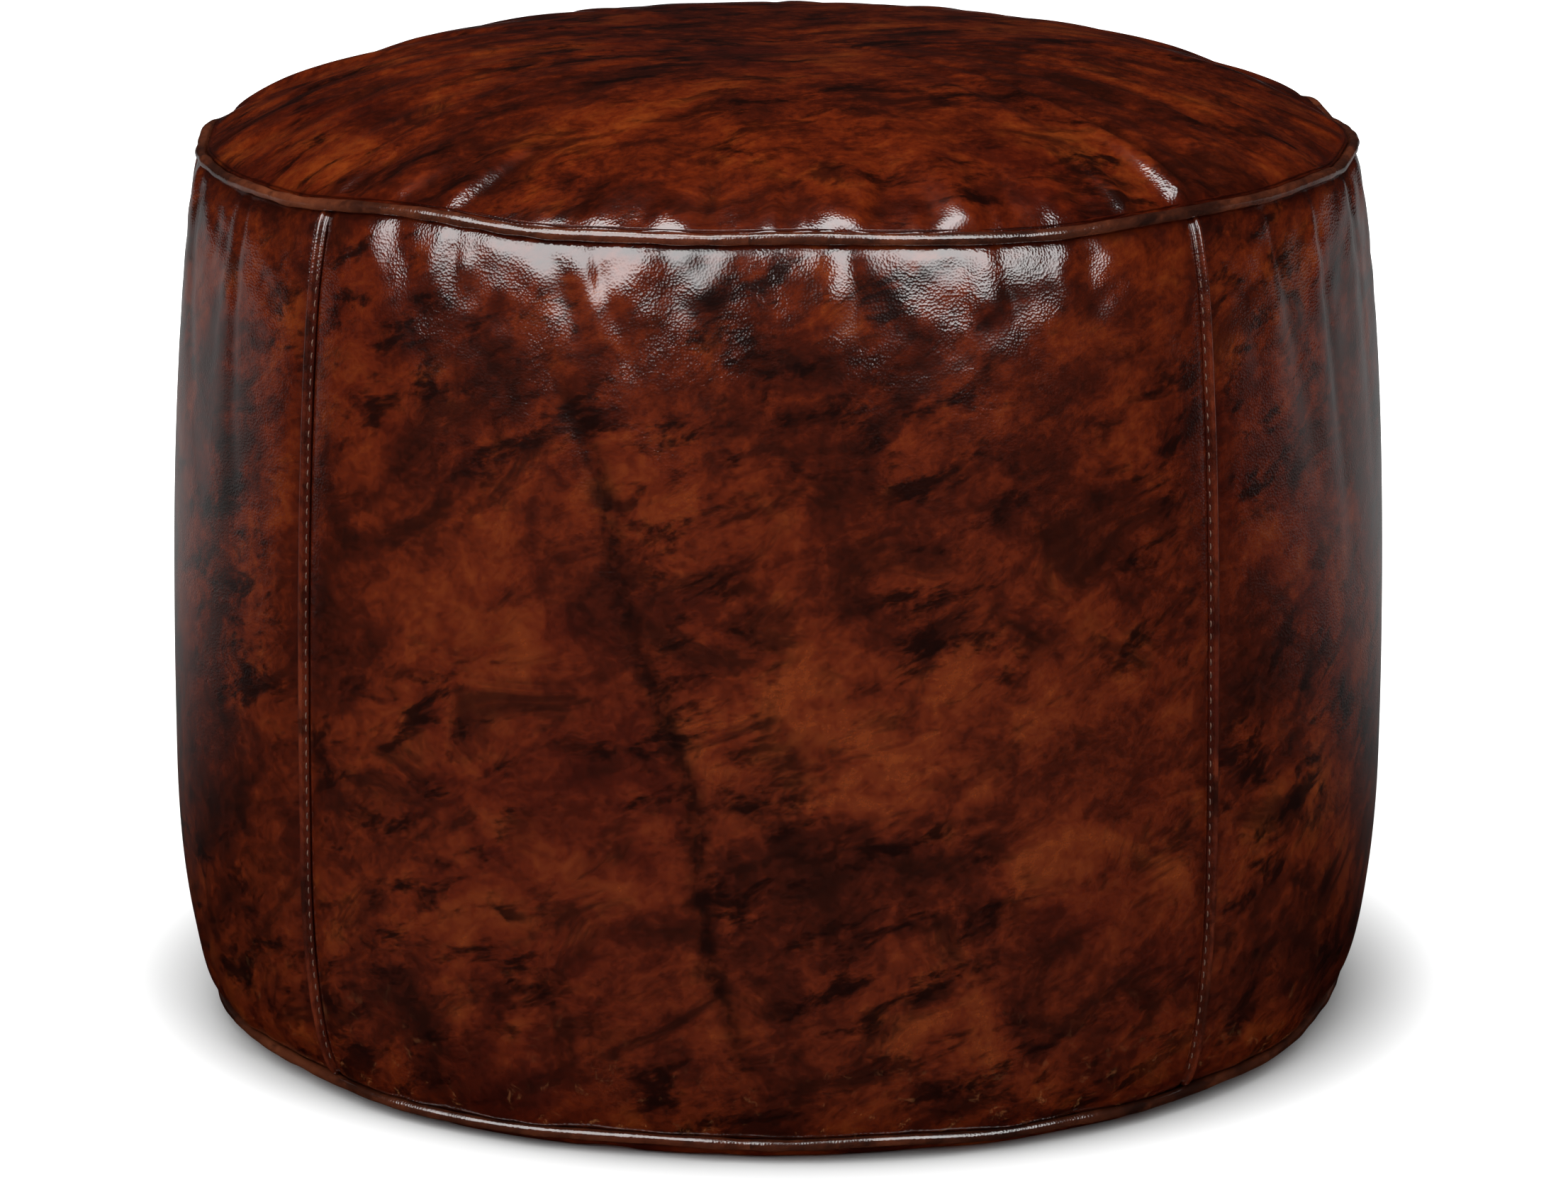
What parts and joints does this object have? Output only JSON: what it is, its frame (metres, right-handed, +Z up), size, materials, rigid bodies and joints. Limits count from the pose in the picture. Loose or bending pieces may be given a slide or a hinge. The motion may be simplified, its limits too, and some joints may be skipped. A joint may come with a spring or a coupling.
{
  "type": "leather pouf",
  "caption": "Round stuffed leather pouf with a crowned top, four side panels, corded welts and a zipped base.",
  "frame": {"origin": "on the floor under the pouf's centre", "axes": "+Z up; the front is -Y, with a side panel's middle facing it; the zip runs along X"},
  "size_m": [0.56, 0.56, 0.445],
  "materials": {
    "cover_leather": "glossy, mottled hand-stained brown",
    "welt_leather": "glossy dark brown",
    "strip_leather": "satin red-brown",
    "cord_cotton": "matt twisted cord",
    "liner_cotton": "matt plain cloth",
    "wadding_cotton": "matt felted pad",
    "filling_fibre": "matt loose fibre",
    "zip_tape": "matt woven tape",
    "zip_coil": "satin nylon",
    "zip_metal": "dull antique brass"
  },
  "bodies": {
    "cover": {"top_panel": "cover_leather", "side_panel_front": "cover_leather", "side_panel_right": "cover_leather", "side_panel_back": "cover_leather", "side_panel_left": "cover_leather", "base_panel_front": "cover_leather", "base_panel_back": "cover_leather", "top_welt_sleeve": "welt_leather", "base_welt_sleeve": "welt_leather", "top_welt_cord": "cord_cotton", "base_welt_cord": "cord_cotton", "seam_strip_front_right": "strip_leather", "seam_strip_back_right": "strip_leather", "seam_strip_back_left": "strip_leather", "seam_strip_front_left": "strip_leather", "zip_tape_front": "zip_tape", "zip_tape_back": "zip_tape", "zip_coil_front": "zip_coil", "zip_coil_back": "zip_coil", "zip_top_stop_front": "zip_metal", "zip_top_stop_back": "zip_metal", "zip_bottom_stop": "zip_metal", "top_wadding": "wadding_cotton", "side_wadding_front": "wadding_cotton", "side_wadding_right": "wadding_cotton", "side_wadding_back": "wadding_cotton", "side_wadding_left": "wadding_cotton", "liner_top": "liner_cotton", "liner_side": "liner_cotton", "liner_base": "liner_cotton", "filling": "filling_fibre"},
    "slider": {"zip_slider": "zip_metal"},
    "pull": {"zip_pull": "zip_metal"}
  },
  "joints": [
    {"name": "zip_slide", "type": "slide", "parent": "cover", "child": "slider", "axis": [-1, 0, 0], "range_m": [0, 0.322]},
    {"name": "pull_hinge", "type": "hinge", "parent": "slider", "child": "pull", "pos_m": [0.169, 0, 0.0019], "axis": [0, -1, 0], "range_deg": [0, 165]}
  ]
}
